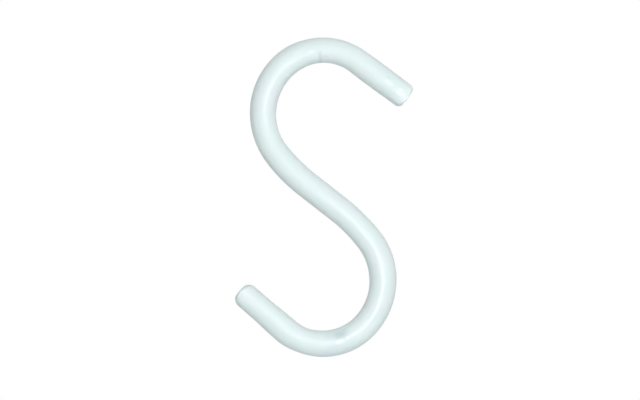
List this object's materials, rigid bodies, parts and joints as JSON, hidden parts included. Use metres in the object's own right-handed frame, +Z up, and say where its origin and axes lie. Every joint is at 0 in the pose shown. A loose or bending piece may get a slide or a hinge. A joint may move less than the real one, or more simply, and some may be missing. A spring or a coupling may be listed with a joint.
{
  "type": "s hook",
  "caption": "Open S-shaped hook of coated round wire that hangs a load below a rail or rod.",
  "frame": {"origin": "bearing point of the rail, at the top of the inside of the upper crown", "axes": "+Z up as it hangs under load, S in the XZ plane, upper hook open towards +X, +Y along the rail"},
  "size_m": [0.0425, 0.0064, 0.0764],
  "materials": {
    "coated_wire": "glossy dip coat, pale mint white, with faint runs and mottling"
  },
  "bodies": {
    "root": {"hook": "coated_wire"}
  },
  "joints": []
}
